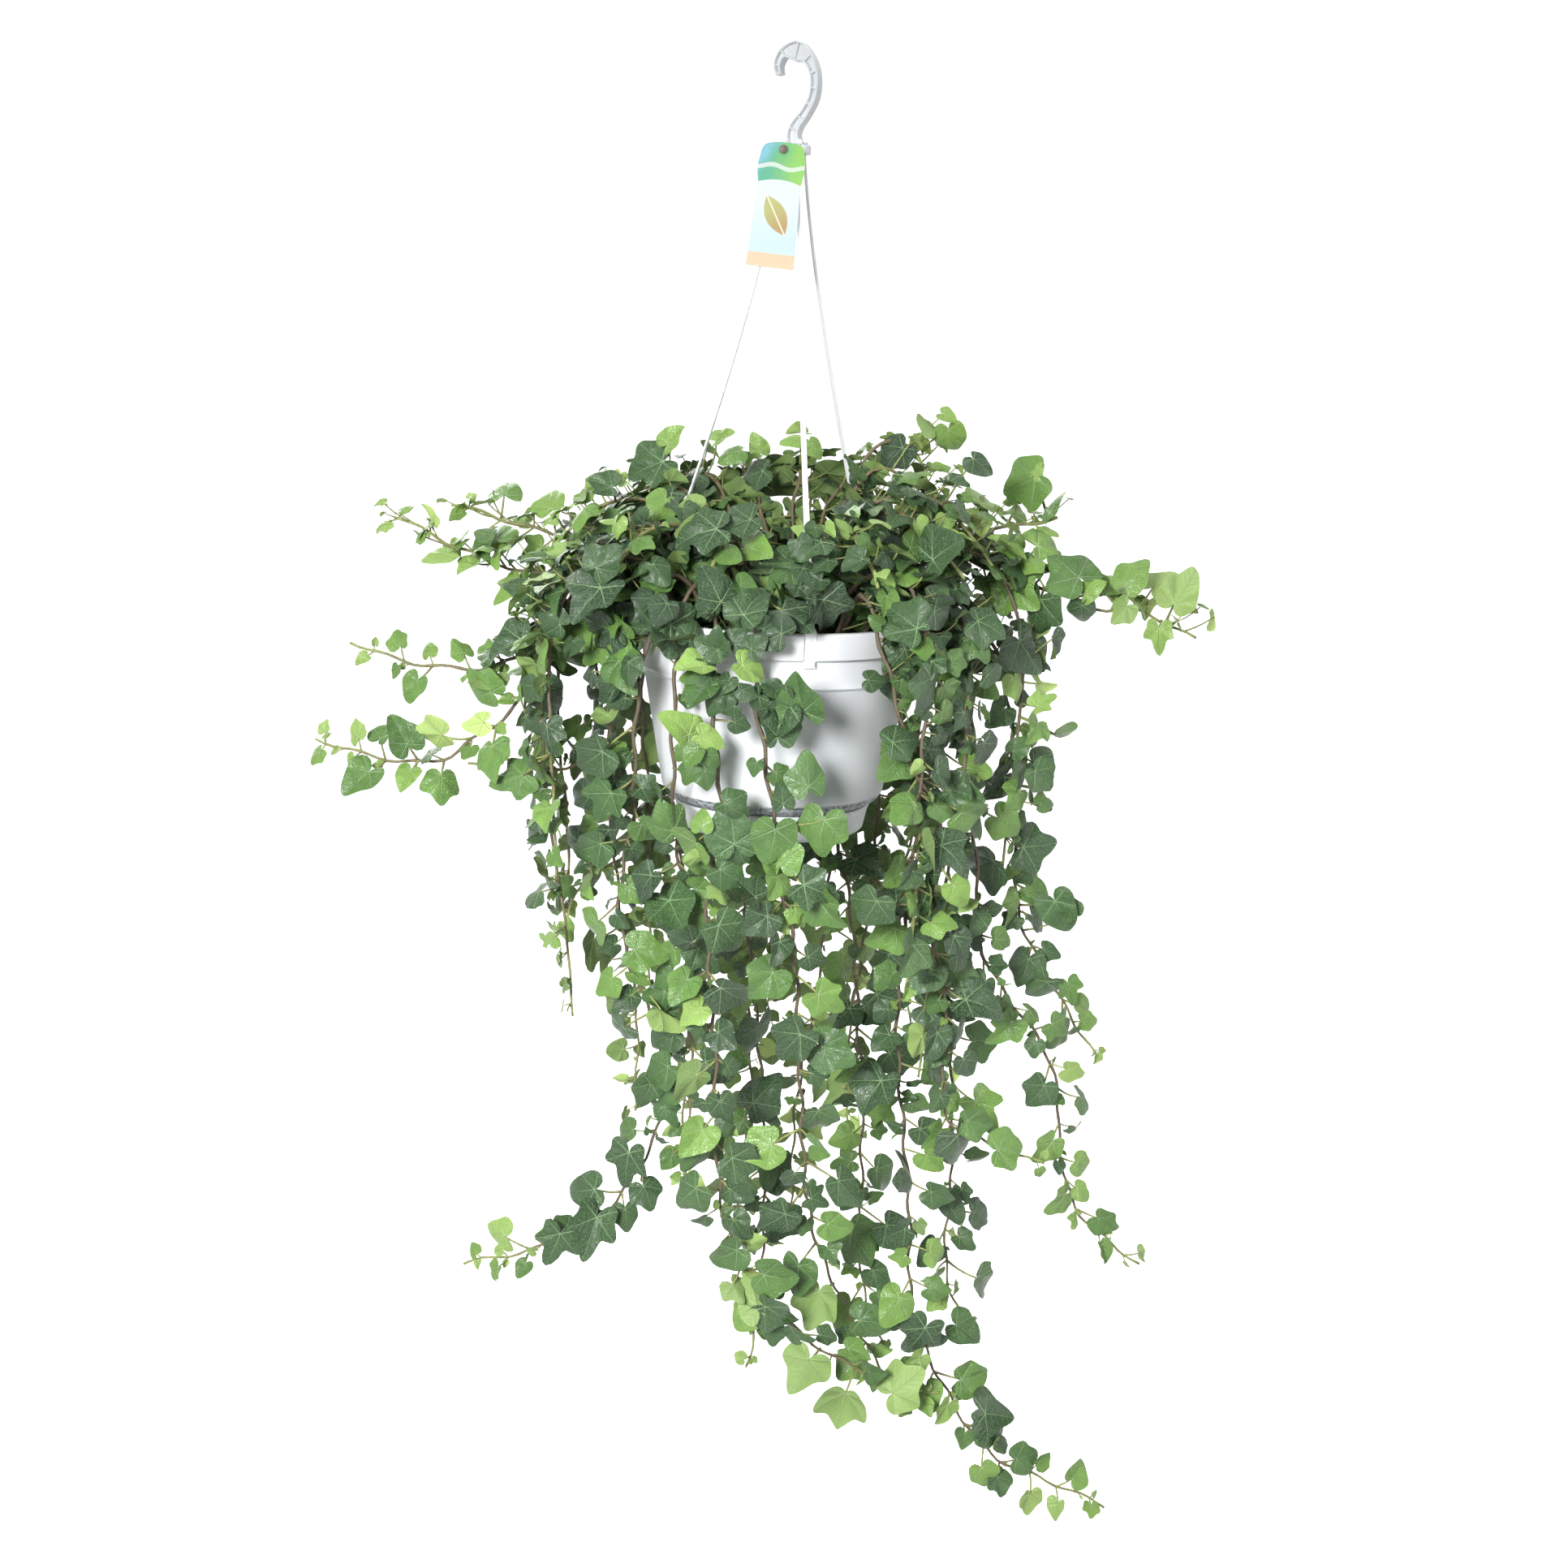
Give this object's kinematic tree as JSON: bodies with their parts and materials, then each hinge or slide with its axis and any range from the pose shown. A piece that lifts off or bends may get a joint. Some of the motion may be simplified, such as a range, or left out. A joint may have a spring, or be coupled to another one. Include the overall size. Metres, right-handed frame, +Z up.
{
  "type": "potted hanging plant",
  "caption": "Round plastic hanging pot with clip-on saucer, flat strand hanger and hook, a printed plant tag, and a full-grown trailing ivy that spills over the rim on all sides.",
  "frame": {"origin": "the seat inside the hook, where the rail that carries it touches, right above the axis of the pot", "axes": "+Z up along the axis of the pot; +X to the right and -Y towards the viewer in the pictured view"},
  "size_m": [0.6517, 0.348, 1.0884],
  "materials": {
    "pot_plastic": "satin",
    "hanger_plastic": "gloss",
    "tag_card": "satin",
    "soil": "matte",
    "ivy": "satin"
  },
  "bodies": {
    "root": {"pot": "pot_plastic", "saucer": "pot_plastic", "soil": "soil", "hook": "hanger_plastic", "strand_front": "hanger_plastic", "strand_right": "hanger_plastic", "strand_left": "hanger_plastic", "tag": "tag_card", "vine_left_a": "ivy", "vine_left_b": "ivy", "vine_left_c": "ivy", "vine_left_d": "ivy", "vine_left_e": "ivy", "vine_left_f": "ivy", "vine_left_long": "ivy", "vine_front_a": "ivy", "vine_front_b": "ivy", "vine_front_c": "ivy", "vine_under_a": "ivy", "vine_under_b": "ivy", "vine_right_long": "ivy", "vine_right_a": "ivy", "vine_right_b": "ivy", "vine_right_c": "ivy", "vine_right_d": "ivy", "vine_right_e": "ivy", "vine_right_f": "ivy", "vine_hanging_033": "ivy", "vine_hanging_049": "ivy", "vine_hanging_057": "ivy", "vine_hanging_066": "ivy", "vine_hanging_084": "ivy", "vine_hanging_094": "ivy", "vine_hanging_103": "ivy", "vine_hanging_122": "ivy", "vine_hanging_132": "ivy", "vine_hanging_140": "ivy", "vine_hanging_170": "ivy", "vine_hanging_194": "ivy", "vine_hanging_206": "ivy", "vine_hanging_311": "ivy", "vine_hanging_326": "ivy", "vine_hanging_351": "ivy", "shoot_crown_015": "ivy", "shoot_crown_028": "ivy", "shoot_crown_050": "ivy", "shoot_crown_080": "ivy", "shoot_crown_107": "ivy", "shoot_crown_137": "ivy", "shoot_crown_158": "ivy", "shoot_crown_186": "ivy", "shoot_crown_217": "ivy", "shoot_crown_240": "ivy", "shoot_crown_288": "ivy", "shoot_crown_300": "ivy", "shoot_crown_324": "ivy", "shoot_crown_341": "ivy"}
  },
  "joints": []
}
